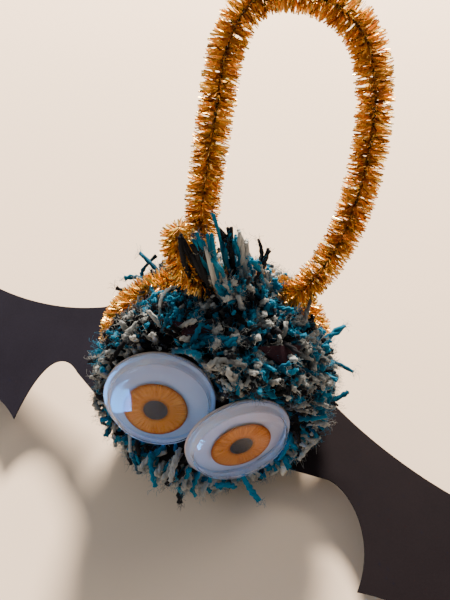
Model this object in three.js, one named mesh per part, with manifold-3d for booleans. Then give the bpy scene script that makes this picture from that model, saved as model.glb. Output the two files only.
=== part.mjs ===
// Yarn pom-pom bat on a tinsel stem: a cut-yarn ball with two wiggle eyes, two card ears and two
// card wings, tied round with one chenille stem whose free part stands up as a hanging loop.
// Millimetres, +Z up. The face looks along -Y and +X is to the right of someone facing it.
// The origin is the middle of the flat patch that the ball rests on.
import * as THREE from 'three';
import * as BufferGeometryUtils from 'three/addons/utils/BufferGeometryUtils.js';
import Module from 'manifold-3d';

const wasm = await Module();
wasm.setup();

// Driving dimensions
const GAP = 0.35; // air between pieces that touch
const BALL_RADIUS = 27.2; // dense part of the cut yarn
const BALL_HEIGHT = 26.6; // ball centre above the surface it rests on
const TIE_PLANE_Y = 8.5; // plane of the tie and of the stem ring, behind the ball centre
const CORE_TIE_RADIUS = 5.5; // yarn tie round the bundle, to its centreline
const CORE_TIE_THICKNESS = 1.8;
const KNOT_RADIUS = 1.7;
const KNOT_OFFSET = 3.2; // behind the tie's plane
const KNOT_POCKET = [4.4, 6, 4.4];
const KNOT_POCKET_SHIFT = 0.6; // towards the tie, so that the pocket opens on it
const RING_RADIUS = 25.3; // stem ring round the ball, to its centreline
const FRINGE_RADIUS = 3.3; // dense part of the tinsel bristles
const WIRE_RADIUS = 0.5; // over the two twisted core wires
const CHANNEL_RADIUS = 1.0; // room round the wires inside the tinsel
const RING_GAP_WIDTH = 2.4; // where the ends of the tinsel ring meet, under the topknot
const RING_GAP_CUT = 12; // across the tinsel
const NOTCH_CLEARANCE = 0.4; // round the stem ring in the yarn
const TOPKNOT_CLEARANCE = 0.5; // round the stem ring in the topknot
const TOPKNOT_X = 9; // middle of the tuft between the loop's feet
const TOPKNOT_STRETCH = [1.1, 0.8, 1]; // the tuft is wider across than it is deep
const EYE_RADIUS = 12.5;
const EYE_PLATE_THICKNESS = 0.5;
const DOME_FLANGE = 0.45;
const DOME_WALL = 0.5;
const DOME_WALL_RADIUS = 11.5;
const DOME_SHOULDER = 1.7;
const DOME_HEIGHT = 4.3; // over the plate
const DOME_CROWN = 0.35; // how far the middle stands over the shoulder
const DOME_TAPER = 0.5; // how far the wall leans in
const DOME_FLAT_RADIUS = 5; // the crown is nearly flat inside this radius
const DOME_FLAT_DROP = 0.1;
const IRIS_RADIUS = 7.25;
const IRIS_THICKNESS = 0.4;
const EYE_POCKET_RADIUS = 13.4;
const EYE_POCKET_DEPTH = 2.1; // behind the plate's face
const GLUE_RADIUS = 5;
const GLUE_THICKNESS = 0.9;
const WING_GLUE_RADII = [3.2, 6.4, 2.56]; // outwards, along the root and through the card
const CARD_THICKNESS = 0.35;
const STRAND_RADIUS = 0.75;
const AROUND = 30; // sides round the ball and the stem ring
const EYE_SIDES = 32;
const TIE_SIDES = 20;
const FRINGE_SIDES = 10;
const WIRE_SIDES = 6;
const CUTTER_LENGTH = 40; // long enough to run out past the ball

const ballCentre = new THREE.Vector3(0, 0, BALL_HEIGHT);

// Places are given from the ball's centre
const fromBall = (x, y, z) => new THREE.Vector3(x, y, z).add(ballCentre);

const EYES = {
  left: {
    centre: fromBall(-12.1, -12.3, 7.9),
    normal: new THREE.Vector3(-0.05, -0.94, 0.33),
    irisOffset: [-1.0, -2.9],
  },
  right: {
    centre: fromBall(5.3, -17.4, -0.8),
    normal: new THREE.Vector3(0.3, -0.93, 0.15),
    irisOffset: [0.6, -2.5],
  },
};

const WINGS = {
  left: {
    rootBack: fromBall(-30.4, 24.2, -4.4),
    rootFront: fromBall(-27.5, -4.8, -7.9),
    onPanel: fromBall(-53, -3.1, -16.9),
  },
  right: {
    rootBack: fromBall(31.2, 1.2, -16.95),
    rootFront: fromBall(18.2, -17.4, -16.95),
    onPanel: fromBall(57, -24.3, -19.1),
  },
};

const EARS = {
  left: { middle: [-5, -7.6, 25.8], widthAxis: [7.7, -2.7, 0.8], width: 9, height: 3.4 },
  right: { middle: [14.3, -9.9, 20.7], widthAxis: [9.4, 3.9, -4.7], width: 12.2, height: 4.4 },
};

// Loose strands that stand out of the ball: foot and tip from the ball's centre
const STRAYS = {
  teal_left_upper: { foot: [-12.6, 20.1, 13.8], tip: [-18.8, 24.3, 16.5], dye: 'teal' },
  teal_left_lower: { foot: [-15.4, 19.2, 12.6], tip: [-22.6, 19.4, 12.6], dye: 'teal' },
  black_left: { foot: [-19.4, 16.4, 11.3], tip: [-24.6, 17.2, 11.6], dye: 'black' },
  teal_right_upper: { foot: [26.4, 3.2, 6.8], tip: [31, 6.5, 10], dye: 'teal' },
  teal_right_lower: { foot: [28, 2.6, 1.2], tip: [33.8, 0.3, -0.4], dye: 'teal' },
  black_bottom: { foot: [-7.9, -22.4, -14.9], tip: [-8.4, -26, -17.2], dye: 'black' },
  teal_bottom: { foot: [7.6, -22.2, -14.9], tip: [10.5, -25.6, -16.6], dye: 'teal' },
};

// Hanging loop in its own plane: across and up from a point between the two feet
const LOOP_FOOT_MIDDLE = fromBall(5, TIE_PLANE_Y, 25.5);
const LOOP_UP = new THREE.Vector3(8.5, 24.2, 51.5).normalize();
const LOOP_POINTS = [
  [-8.9, 2], [-9.4, 9], [-9.8, 22], [-9.6, 35], [-9.1, 47], [-5.5, 55.3], [2, 58.1], [10.5, 56.6],
  [17, 51.5], [21, 42], [22.6, 29], [22, 17], [19.6, 7], [15, -1.5],
];
// Where along the loop the wire and its tinsel start and stop
const LOOP_WIRE_SPAN = [0.012, 0.986];
const LOOP_TINSEL_SPAN = [0.025, 0.975];
const LOOP_STEPS = 40;
// Free end of the stem, standing in front of the loop's left foot
const TAIL_POINTS = [[-5, 2.1, 32], [-6.7, 2.5, 36], [-7, 3, 41], [-6.4, 3.1, 45.4]];
const TAIL_WIRE_SPAN = [0, 1];
const TAIL_TINSEL_SPAN = [0.04, 0.97];
const TAIL_FRINGE_RADIUS = 3;
const TAIL_STEPS = 6;

// Materials
const finish = (color, roughness, metalness = 0) =>
  new THREE.MeshStandardMaterial({ color, roughness, metalness });
const yarnMix = () => finish(0x1f4f60, 0.95);
const dyes = { teal: () => finish(0x0f7fa0, 0.95), black: () => finish(0x17171c, 0.95) };
const tinsel = () => finish(0xc8841e, 0.35, 0.9);
const coreWire = () => finish(0x4a3524, 0.5, 0.8);
const whitePlastic = () => finish(0xe9edf2, 0.3);
const clearPlastic = () => finish(0xdfe6ee, 0.05);
const printedDisc = () => finish(0xd8853a, 0.5);
const card = () => finish(0x35303a, 0.85);
const glue = () => finish(0xe8e4d8, 0.4);

// Geometry helpers
function toManifold(geometry) {
  const bare = geometry.clone();
  bare.deleteAttribute('normal');
  bare.deleteAttribute('uv');
  const merged = BufferGeometryUtils.mergeVertices(bare, 1e-4);
  return new wasm.Manifold(new wasm.Mesh({
    numProp: 3,
    vertProperties: new Float32Array(merged.attributes.position.array),
    triVerts: new Uint32Array(merged.index.array),
  }));
}

function toGeometry(solid) {
  const mesh = solid.getMesh();
  const geometry = new THREE.BufferGeometry();
  geometry.setAttribute('position', new THREE.BufferAttribute(mesh.vertProperties, 3));
  geometry.setIndex(new THREE.BufferAttribute(mesh.triVerts, 1));
  geometry.computeVertexNormals();
  return geometry;
}

function cut(geometry, ...tools) {
  let solid = toManifold(geometry);
  for (const tool of tools) {
    solid = solid.subtract(toManifold(tool));
  }
  return toGeometry(solid);
}

const sphereAt = (centre, radius, across = 24) =>
  new THREE.SphereGeometry(radius, across, across / 2).translate(...centre.toArray());

// A ring of round section about an axis along Y
function ringGeometry(ringRadius, sectionRadius, around, sides) {
  const profile = [];
  for (let i = 0; i <= sides; i += 1) {
    const angle = (-i / sides) * 2 * Math.PI;
    profile.push(new THREE.Vector2(
      ringRadius + sectionRadius * Math.cos(angle),
      sectionRadius * Math.sin(angle),
    ));
  }
  profile[sides] = profile[0].clone();
  profile.reverse();
  return new THREE.LatheGeometry(profile, around).translate(0, TIE_PLANE_Y, BALL_HEIGHT);
}

const circleShape = (radius, sides) => {
  const points = [];
  for (let i = 0; i < sides; i += 1) {
    const angle = (i / sides) * 2 * Math.PI;
    points.push(new THREE.Vector2(radius * Math.cos(angle), radius * Math.sin(angle)));
  }
  return new THREE.Shape(points);
};

// A tube, solid or with a round channel, along the part of a curve between two fractions
function tubeAlong(curve, span, steps, radius, sides, channelRadius = 0) {
  const samples = [];
  for (let i = 0; i <= steps; i += 1) {
    samples.push(curve.getPointAt(span[0] + ((span[1] - span[0]) * i) / steps));
  }
  const shape = circleShape(radius, sides);
  if (channelRadius > 0) {
    shape.holes.push(circleShape(channelRadius, WIRE_SIDES));
  }
  return new THREE.ExtrudeGeometry(shape, {
    steps,
    extrudePath: new THREE.CatmullRomCurve3(samples),
    bevelEnabled: false,
  });
}

// Basis with Z along the normal and X level
function levelBasis(normal) {
  const z = normal.clone().normalize();
  const x = new THREE.Vector3(0, 0, 1).cross(z).normalize();
  const y = z.clone().cross(x);
  return new THREE.Matrix4().makeBasis(x, y, z);
}

// Yarn ball, in front of and behind the tie plane
const SPHERE_STEPS = 11;
const NOTCH_RADIUS = FRINGE_RADIUS + NOTCH_CLEARANCE;

// The part of the ball on one side of the tie plane, -1 for the front and 1 for the back
function yarnHalf(side) {
  const faceY = TIE_PLANE_Y + side * (GAP / 2);
  const pole = side * (Math.PI / 2);
  const edge = Math.asin(faceY / BALL_RADIUS);
  const profile = [new THREE.Vector2(0, side * BALL_RADIUS)];
  for (let i = 1; i <= SPHERE_STEPS; i += 1) {
    const angle = pole + ((edge - pole) * i) / SPHERE_STEPS;
    profile.push(new THREE.Vector2(BALL_RADIUS * Math.cos(angle), BALL_RADIUS * Math.sin(angle)));
  }
  profile.push(new THREE.Vector2(0, faceY));
  if (side > 0) {
    profile.reverse();
  }
  return new THREE.LatheGeometry(profile, AROUND).translate(0, 0, BALL_HEIGHT);
}

const ringNotch = ringGeometry(RING_RADIUS, NOTCH_RADIUS, AROUND, FRINGE_SIDES);
const tieGroove = ringGeometry(CORE_TIE_RADIUS, CORE_TIE_THICKNESS / 2 + GAP, TIE_SIDES, 8);
const floorTool = new THREE.BoxGeometry(CUTTER_LENGTH * 2, CUTTER_LENGTH * 2, CUTTER_LENGTH)
  .translate(0, 0, -CUTTER_LENGTH / 2);

function eyePocket(eye) {
  return new THREE.CylinderGeometry(EYE_POCKET_RADIUS, EYE_POCKET_RADIUS, CUTTER_LENGTH, EYE_SIDES)
    .rotateX(Math.PI / 2)
    .translate(0, 0, CUTTER_LENGTH / 2 - EYE_POCKET_DEPTH)
    .applyMatrix4(levelBasis(eye.normal))
    .translate(...eye.centre.toArray());
}

// A pocket for the knot of the centre tie, in the back half
const knotCentre = fromBall(0, TIE_PLANE_Y + KNOT_OFFSET, CORE_TIE_RADIUS);
const knotPocket = new THREE.BoxGeometry(...KNOT_POCKET)
  .translate(knotCentre.x, knotCentre.y - KNOT_POCKET_SHIFT, knotCentre.z);

const parts = new THREE.Group();

function add(name, geometry, material, parent = parts) {
  const mesh = new THREE.Mesh(geometry, material);
  mesh.name = name;
  parent.add(mesh);
  return mesh;
}

const frontTools = [ringNotch, tieGroove, floorTool, eyePocket(EYES.left), eyePocket(EYES.right)];
add('yarn_front_half', cut(yarnHalf(-1), ...frontTools), yarnMix());
add('yarn_back_half', cut(yarnHalf(1), ringNotch, tieGroove, floorTool, knotPocket), yarnMix());

// Long strands that stand up between the loop's feet: radius and height above the ball's centre
const TOPKNOT_PROFILE = [[0, 21], [5.4, 22], [6.6, 28], [7, 34], [6, 41], [3.2, 45.5], [0, 46]];

function topknot() {
  const profile = TOPKNOT_PROFILE.map(([across, up]) => new THREE.Vector2(across, up));
  const tuft = new THREE.LatheGeometry(profile, 20)
    .rotateX(Math.PI / 2)
    .scale(...TOPKNOT_STRETCH)
    .translate(TOPKNOT_X, TIE_PLANE_Y, BALL_HEIGHT);
  return cut(tuft, sphereAt(ballCentre, BALL_RADIUS + GAP, AROUND),
    ringGeometry(RING_RADIUS, FRINGE_RADIUS + TOPKNOT_CLEARANCE, AROUND, FRINGE_SIDES));
}
add('yarn_topknot', topknot(), yarnMix());

// Yarn tied round the middle of the bundle, and its knot
add('centre_tie', ringGeometry(CORE_TIE_RADIUS, CORE_TIE_THICKNESS / 2, TIE_SIDES, 8), dyes.black());
add('centre_tie_knot', new THREE.SphereGeometry(KNOT_RADIUS, 10, 6)
  .translate(...knotCentre.toArray()), dyes.black());

// Stem ring round the ball
const ringGap = new THREE.BoxGeometry(RING_GAP_WIDTH, RING_GAP_CUT, RING_GAP_CUT)
  .translate(TOPKNOT_X, TIE_PLANE_Y, BALL_HEIGHT + Math.sqrt(RING_RADIUS ** 2 - TOPKNOT_X ** 2));
add('tie_ring_wire', ringGeometry(RING_RADIUS, WIRE_RADIUS, AROUND, WIRE_SIDES), coreWire());
add('tie_ring_tinsel', cut(ringGeometry(RING_RADIUS, FRINGE_RADIUS, AROUND, FRINGE_SIDES),
  ringGeometry(RING_RADIUS, CHANNEL_RADIUS, AROUND, WIRE_SIDES), ringGap, floorTool), tinsel());

// Free end of the stem
const tailCurve = new THREE.CatmullRomCurve3(TAIL_POINTS.map((point) => fromBall(...point)));
add('stem_tail_wire',
  tubeAlong(tailCurve, TAIL_WIRE_SPAN, TAIL_STEPS, WIRE_RADIUS, WIRE_SIDES), coreWire());
add('stem_tail_tinsel',
  tubeAlong(tailCurve, TAIL_TINSEL_SPAN, TAIL_STEPS, TAIL_FRINGE_RADIUS, FRINGE_SIDES,
    CHANNEL_RADIUS), tinsel());

// Hanging loop
const loopAcross = new THREE.Vector3(1, 0, 0).addScaledVector(LOOP_UP, -LOOP_UP.x).normalize();
const loopCurve = new THREE.CatmullRomCurve3(LOOP_POINTS.map(([across, up]) => LOOP_FOOT_MIDDLE
  .clone()
  .addScaledVector(loopAcross, across)
  .addScaledVector(LOOP_UP, up)));
add('hanger_wire', tubeAlong(loopCurve, LOOP_WIRE_SPAN, LOOP_STEPS, WIRE_RADIUS, WIRE_SIDES), coreWire());
add('hanger_tinsel',
  tubeAlong(loopCurve, LOOP_TINSEL_SPAN, LOOP_STEPS, FRINGE_RADIUS, FRINGE_SIDES, CHANNEL_RADIUS),
  tinsel());

// Wiggle eyes, each in its own frame with Z out of the face
function domeGeometry() {
  const base = GAP;
  const flangeTop = base + DOME_FLANGE;
  const flatTop = DOME_HEIGHT - DOME_FLAT_DROP;
  const outer = [];
  const inner = [];
  const arcSteps = 4;
  const bendRadius = DOME_WALL_RADIUS - DOME_TAPER - DOME_SHOULDER;
  const bendHeight = DOME_HEIGHT - DOME_CROWN - DOME_SHOULDER;
  for (let i = 0; i <= arcSteps; i += 1) {
    const angle = ((Math.PI / 2) * i) / arcSteps;
    outer.push([
      bendRadius + DOME_SHOULDER * Math.cos(angle),
      bendHeight + DOME_SHOULDER * Math.sin(angle),
    ]);
    inner.push([
      bendRadius + (DOME_SHOULDER - DOME_WALL) * Math.cos(angle),
      bendHeight + (DOME_SHOULDER - DOME_WALL) * Math.sin(angle),
    ]);
  }
  const profile = [
    [DOME_WALL_RADIUS - DOME_WALL, base], [EYE_RADIUS, base], [EYE_RADIUS, flangeTop],
    [DOME_WALL_RADIUS, flangeTop], ...outer, [DOME_FLAT_RADIUS, flatTop], [0, DOME_HEIGHT],
    [0, DOME_HEIGHT - DOME_WALL], [DOME_FLAT_RADIUS, flatTop - DOME_WALL], ...inner.reverse(),
    [DOME_WALL_RADIUS - DOME_WALL, base],
  ];
  return new THREE.LatheGeometry(profile.map(([x, y]) => new THREE.Vector2(x, y)), EYE_SIDES)
    .rotateX(Math.PI / 2);
}

const discGeometry = (radius, thickness, sides, bottom) =>
  new THREE.CylinderGeometry(radius, radius, thickness, sides)
    .rotateX(Math.PI / 2)
    .translate(0, 0, bottom + thickness / 2);

for (const [side, eye] of Object.entries(EYES)) {
  const group = new THREE.Group();
  group.setRotationFromMatrix(levelBasis(eye.normal));
  group.position.copy(eye.centre);
  parts.add(group);
  add(`eye_${side}_back`,
    discGeometry(EYE_RADIUS, EYE_PLATE_THICKNESS, EYE_SIDES, -EYE_PLATE_THICKNESS),
    whitePlastic(), group);
  add(`eye_${side}_dome`, domeGeometry(), clearPlastic(), group);
  add(`eye_${side}_iris`, discGeometry(IRIS_RADIUS, IRIS_THICKNESS, 28, GAP)
    .translate(...eye.irisOffset, 0), printedDisc(), group);
  add(`eye_${side}_glue`, discGeometry(GLUE_RADIUS, GLUE_THICKNESS, 14,
    -EYE_PLATE_THICKNESS - GAP - GLUE_THICKNESS), glue(), group);
}

// Card ears lying on the yarn, point towards the face
for (const [side, ear] of Object.entries(EARS)) {
  const outward = new THREE.Vector3(...ear.middle).normalize();
  const across = new THREE.Vector3(...ear.widthAxis);
  across.addScaledVector(outward, -across.dot(outward)).normalize();
  const towardsBack = outward.clone().cross(across);
  const shape = new THREE.Shape([
    new THREE.Vector2(-ear.width / 2, ear.height / 2),
    new THREE.Vector2(0, -ear.height / 2),
    new THREE.Vector2(ear.width / 2, ear.height / 2),
  ]);
  const geometry = new THREE.ExtrudeGeometry(shape, { depth: CARD_THICKNESS, bevelEnabled: false })
    .applyMatrix4(new THREE.Matrix4().makeBasis(across, towardsBack, outward))
    .translate(...fromBall(...outward.multiplyScalar(BALL_RADIUS + GAP).toArray()).toArray());
  add(`ear_${side}`, geometry, card());
}

// Wing outlines in the panel's plane: outwards from the root, then along the root to the back
function leftWingShape() {
  const shape = new THREE.Shape();
  shape.moveTo(0, -14.7);
  shape.lineTo(8, -3.5);
  shape.bezierCurveTo(12.5, 5, 19.5, 3.5, 26.9, -11.8);
  shape.bezierCurveTo(33, -1, 42, 1, 50, 6);
  shape.quadraticCurveTo(49, 22, 40, 36);
  shape.quadraticCurveTo(20, 19, 0, 14.6);
  return shape;
}

function rightWingShape() {
  const shape = new THREE.Shape();
  shape.moveTo(0, -11.3);
  shape.lineTo(8.8, -8.2);
  shape.bezierCurveTo(13, -6.5, 25.5, -12.5, 27.2, -27);
  shape.bezierCurveTo(34, -23.5, 44, -23, 52, -17);
  shape.quadraticCurveTo(49, -4, 41, 6.5);
  shape.quadraticCurveTo(20, 5, 0, 11.3);
  return shape;
}
const WING_SHAPES = { left: leftWingShape(), right: rightWingShape() };

for (const [side, wing] of Object.entries(WINGS)) {
  const alongRoot = wing.rootBack.clone().sub(wing.rootFront).normalize();
  const middle = wing.rootBack.clone().add(wing.rootFront).multiplyScalar(0.5);
  const outwards = wing.onPanel.clone().sub(middle);
  outwards.addScaledVector(alongRoot, -outwards.dot(alongRoot)).normalize();
  const basis = new THREE.Matrix4().makeBasis(outwards, alongRoot, outwards.clone().cross(alongRoot));
  const panel = new THREE.ExtrudeGeometry(WING_SHAPES[side], {
    depth: CARD_THICKNESS,
    bevelEnabled: false,
    curveSegments: 8,
  }).translate(0, 0, -CARD_THICKNESS / 2)
    .applyMatrix4(basis)
    .translate(...middle.toArray());
  add(`wing_${side}`, panel, card());

  // Glue between the root edge and the yarn, where the edge runs closest to the ball
  const toBall = ballCentre.clone().sub(middle);
  const nearest = middle.clone().addScaledVector(alongRoot, toBall.dot(alongRoot));
  const beyondRoot = new THREE.BoxGeometry(CUTTER_LENGTH / 2, CUTTER_LENGTH, CUTTER_LENGTH / 2)
    .translate(CUTTER_LENGTH / 4 - GAP, 0, 0)
    .applyMatrix4(basis)
    .translate(...middle.toArray());
  const dab = new THREE.SphereGeometry(1, 14, 8)
    .scale(...WING_GLUE_RADII)
    .applyMatrix4(basis)
    .translate(...nearest.toArray());
  add(`wing_${side}_glue`, cut(dab, sphereAt(ballCentre, BALL_RADIUS + GAP, AROUND), beyondRoot), glue());
}

// Loose strands
for (const [name, strand] of Object.entries(STRAYS)) {
  const foot = fromBall(...strand.foot);
  const tip = fromBall(...strand.tip);
  const geometry = new THREE.ExtrudeGeometry(circleShape(STRAND_RADIUS, 8), {
    steps: 2,
    extrudePath: new THREE.LineCurve3(foot, tip),
    bevelEnabled: false,
  });
  add(`strand_${name}`, geometry, dyes[strand.dye]());
}

export default parts;
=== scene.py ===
"""Yarn pom-pom bat on a tinsel stem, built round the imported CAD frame.

Pieces are made in millimetres from the ball's centre and placed in metres. The face looks along -Y.
"""
import math

import bpy
import numpy as np
from mathutils import Matrix, Vector


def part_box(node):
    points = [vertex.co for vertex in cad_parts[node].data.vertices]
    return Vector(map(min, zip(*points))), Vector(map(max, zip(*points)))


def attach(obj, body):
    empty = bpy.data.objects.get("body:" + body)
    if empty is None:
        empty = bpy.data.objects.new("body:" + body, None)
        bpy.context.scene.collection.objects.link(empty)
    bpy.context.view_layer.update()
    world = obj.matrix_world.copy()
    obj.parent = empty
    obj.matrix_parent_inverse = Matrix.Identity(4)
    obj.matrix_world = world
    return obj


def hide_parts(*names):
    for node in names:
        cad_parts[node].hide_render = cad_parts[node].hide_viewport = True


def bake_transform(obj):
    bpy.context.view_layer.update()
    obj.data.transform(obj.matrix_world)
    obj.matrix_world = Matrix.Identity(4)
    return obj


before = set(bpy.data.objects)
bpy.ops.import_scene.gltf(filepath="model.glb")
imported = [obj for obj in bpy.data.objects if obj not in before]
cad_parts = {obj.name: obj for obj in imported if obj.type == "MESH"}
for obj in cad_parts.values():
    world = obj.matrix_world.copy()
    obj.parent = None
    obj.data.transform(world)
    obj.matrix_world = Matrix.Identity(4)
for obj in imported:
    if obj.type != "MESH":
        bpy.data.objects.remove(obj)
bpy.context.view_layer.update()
MM = 0.001
RNG = np.random.default_rng(4)


def box_mm(node):
    low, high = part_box(node)
    return np.array(low) / MM, np.array(high) / MM


# Driving sizes, read from the frame
RING_LOW, RING_HIGH = box_mm("tie_ring_wire")
WIRE_RADIUS = 0.5
RING_RADIUS = (RING_HIGH[0] - RING_LOW[0]) / 2 - WIRE_RADIUS
TIE_PLANE_Y = (RING_LOW[1] + RING_HIGH[1]) / 2
BALL_CENTRE = np.array([0.0, 0.0, (RING_LOW[2] + RING_HIGH[2]) / 2])
YARN_ROOT = np.array([0.0, 6.0, 0.0])
BALL_RADIUS = box_mm("yarn_back_half")[1][1]
FLOOR_CLEARANCE = 0.12
FLOOR_PRESS = 0.02  # share of its depth under the floor that a pressed point keeps, upwards
TURN = 2 * math.pi
PHASE_RANGE = 6.28  # random phases and turns are drawn up to this

# Places from the ball's centre, as in the CAD
# Each eye's white is the plastic's white painted darker and warmer, a different amount for each eye:
# painted shade, as the plates face away from the main light.
EYES = {
    "left": {
        "centre": (-12.1, -12.3, 7.9),
        "normal": (-0.05, -0.94, 0.33),
        "iris": (-1.0, -2.9),
        "white": (0.43, 0.345, 0.28),
        "hood": 0.72,
    },
    "right": {
        "centre": (5.3, -17.4, -0.8),
        "normal": (0.3, -0.93, 0.15),
        "iris": (0.6, -2.5),
        "white": (0.55, 0.43, 0.345),
        "hood": 1.0,
    },
}
EYE_RADIUS = 12.5
PUPIL_RADIUS = 2.75
IRIS_RADIUS = 7.25
DOME_WALL = (11.15, 11.35)  # the dome turns from top to milky wall between these radii
EARS = {
    "left": {"middle": (-5, -7.6, 25.8), "across": (7.7, -2.7, 0.8), "width": 9, "height": 3.4},
    "right": {"middle": (14.3, -9.9, 20.7), "across": (9.4, 3.9, -4.7), "width": 12.2, "height": 4.4},
}
LOOP_FOOT_MIDDLE = np.array([5.0, TIE_PLANE_Y, 25.5])
LOOP_UP = np.array([8.5, 24.2, 51.5])
LOOP_FEET = ((-3.5, 8.5, 25.1), (17.0, 8.5, 18.7))
LOOP_POINTS = (
    (-8.9, 2), (-9.4, 9), (-9.8, 22), (-9.6, 35), (-9.1, 47), (-5.5, 55.3), (2, 58.1),
    (10.5, 56.6), (17, 51.5), (21, 42), (22.6, 29), (22, 17), (19.6, 7), (15, -1.5),
)
TAIL_POINTS = (
    (4.0, 5.8, 27.4), (0.6, 3.2, 29.2), (-2.6, 2.1, 31), (-5.2, 2.1, 33.6), (-6.7, 2.5, 37), (-7, 3, 41),
    (-6.4, 3.1, 45.6),
)


# ---------------------------------------------------------------- small vector helpers
def unit(vectors):
    vectors = np.asarray(vectors, float)
    length = np.linalg.norm(vectors, axis=-1, keepdims=True)
    return vectors / np.maximum(length, 1e-9)


def level_basis(normal):
    """Rows x, y, z with z along the normal and x level."""
    z = unit(normal)
    x = unit(np.cross((0, 0, 1), z))
    return np.array([x, np.cross(z, x), z])


def smooth_path(points, steps):
    """Evenly spaced points along a smooth curve through the given points."""
    points = np.asarray(points, float)
    padded = np.vstack([2 * points[0] - points[1], points, 2 * points[-1] - points[-2]])
    dense = []
    for i in range(len(points) - 1):
        a, b, c, d = padded[i : i + 4]
        t = np.linspace(0, 1, 24, endpoint=False)[:, None]
        dense.append(
            0.5 * (2 * b + (c - a) * t + (2 * a - 5 * b + 4 * c - d) * t**2
                   + (3 * b - a - 3 * c + d) * t**3)
        )
    dense = np.vstack([*dense, points[-1:]])
    gone = np.r_[0, np.cumsum(np.linalg.norm(np.diff(dense, axis=0), axis=1))]
    even = np.linspace(0, gone[-1], steps)
    return np.column_stack([np.interp(even, gone, dense[:, k]) for k in range(3)])


def path_frames(path):
    """Tangent and two cross directions along a path, turning as little as they can."""
    tangent = unit(np.gradient(path, axis=0))
    side = np.zeros_like(path)
    side[0] = unit(np.cross(tangent[0], (0.3, 0.2, 0.9)))
    for i in range(1, len(path)):
        across = side[i - 1] - tangent[i] * (side[i - 1] @ tangent[i])
        side[i] = unit(across)
    return tangent, side, np.cross(tangent, side)


# ---------------------------------------------------------------- mesh helpers
def facing_out(verts, faces):
    """The faces, turned round if the closed surface that they make faces inwards."""
    corners = [np.asarray(verts, float)[faces[:, k]] for k in range(faces.shape[1])]
    volume = sum(
        np.einsum("ij,ij->", corners[0], np.cross(b, c)) for b, c in zip(corners[1:], corners[2:])
    )
    return faces if volume > 0 else faces[:, ::-1]


def make_object(name, verts_mm, faces, materials, smooth=True, about=BALL_CENTRE):
    mesh = bpy.data.meshes.new(name)
    faces = np.ascontiguousarray(facing_out(verts_mm, np.asarray(faces, np.int32)))
    verts = (np.asarray(verts_mm, float) + about) * MM
    corners = faces.shape[1]
    mesh.vertices.add(len(verts))
    mesh.vertices.foreach_set("co", verts.astype(np.float32).ravel())
    mesh.loops.add(faces.size)
    mesh.loops.foreach_set("vertex_index", faces.ravel())
    mesh.polygons.add(len(faces))
    mesh.polygons.foreach_set("loop_start", np.arange(0, faces.size, corners, dtype=np.int32))
    mesh.update(calc_edges=True)
    mesh.polygons.foreach_set("use_smooth", np.full(len(faces), smooth))
    for material in materials:
        mesh.materials.append(material)
    mesh.validate()
    obj = bpy.data.objects.new(name, mesh)
    bpy.context.scene.collection.objects.link(obj)
    return obj


def point_attribute(obj, name, values):
    attribute = obj.data.attributes.new(name, "FLOAT", "POINT")
    attribute.data.foreach_set("value", np.asarray(values, np.float32).ravel())


def sweep(paths, section, reference=None):
    """Closed quad tubes. paths is (n, k, 3); section is (n, k, sides, 2), an even number of sides.

    Returns the vertices as (n, k, sides, 3) and the faces.
    """
    paths = np.asarray(paths, float)
    count, steps, _ = paths.shape
    sides = section.shape[2]
    tangent = unit(np.gradient(paths, axis=1))
    if reference is None:
        reference = unit(RNG.normal(size=(count, 1, 3)))
    side = unit(np.cross(tangent, reference))
    up = np.cross(side, tangent)
    verts = (
        paths[:, :, None, :]
        + section[..., :1] * side[:, :, None, :]
        + section[..., 1:] * up[:, :, None, :]
    )
    ring = np.arange(sides)
    following = (ring + 1) % sides
    quads = []
    for k in range(steps - 1):
        low, high = k * sides, (k + 1) * sides
        quads.append(np.column_stack([low + ring, high + ring, high + following, low + following]))
    caps = []
    for k in range(1, sides - 1, 2):
        caps.append([0, k, k + 1, k + 2 if k + 2 < sides else 0])
    top = (steps - 1) * sides
    caps = [c for c in caps if len(set(c)) == 4]
    quads.append(np.array(caps))
    quads.append(np.array([[top + v for v in reversed(c)] for c in caps]))
    one = np.vstack(quads)
    faces = (one[None] + (np.arange(count) * steps * sides)[:, None, None]).reshape(-1, 4)
    return verts, faces


def round_section(radii, sides):
    """Section points of round tubes whose radius is radii, (n, k)."""
    angle = np.arange(sides) / sides * TURN
    circle = np.column_stack([np.cos(angle), np.sin(angle)])
    return np.asarray(radii)[..., None, None] * circle


def flat_section(half_width, half_depth):
    corners = np.array([[-1, -1], [1, -1], [1, 1], [-1, 1]], float)
    return np.stack([half_width[..., None] * corners[:, 0], half_depth[..., None] * corners[:, 1]], -1)


def on_floor(verts):
    """Presses points that would be under the floor flat on it."""
    low = -BALL_CENTRE[2] + FLOOR_CLEARANCE
    under = np.minimum(verts[..., 2] - low, 0)
    verts[..., 2] = np.maximum(verts[..., 2], low - FLOOR_PRESS * under)
    return verts


def lathe(profile, around):
    """A closed solid turned about Z from a profile of (radius, height) that ends on the axis."""
    profile = np.asarray(profile, float)
    radius, height = profile.T
    volume = np.diff(height) @ (radius[1:] ** 2 + radius[1:] * radius[:-1] + radius[:-1] ** 2)
    if volume < 0:
        profile = profile[::-1]
    angle = np.arange(around) / around * TURN
    body = profile[1:-1]
    verts = np.concatenate([
        np.stack([body[:, :1] * np.cos(angle), body[:, :1] * np.sin(angle),
                  np.repeat(body[:, 1:], around, 1)], -1).reshape(-1, 3),
        [[0, 0, profile[0, 1]], [0, 0, profile[-1, 1]]],
    ])
    faces = []
    rows = len(body)
    for k in range(rows - 1):
        for i in range(around):
            j = (i + 1) % around
            faces.append((k * around + i, k * around + j, (k + 1) * around + j, (k + 1) * around + i))
    start, end = rows * around, rows * around + 1
    for i in range(around):
        j = (i + 1) % around
        faces.append((start, j, i))
        faces.append((end, (rows - 1) * around + i, (rows - 1) * around + j))
    return verts, faces


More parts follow.
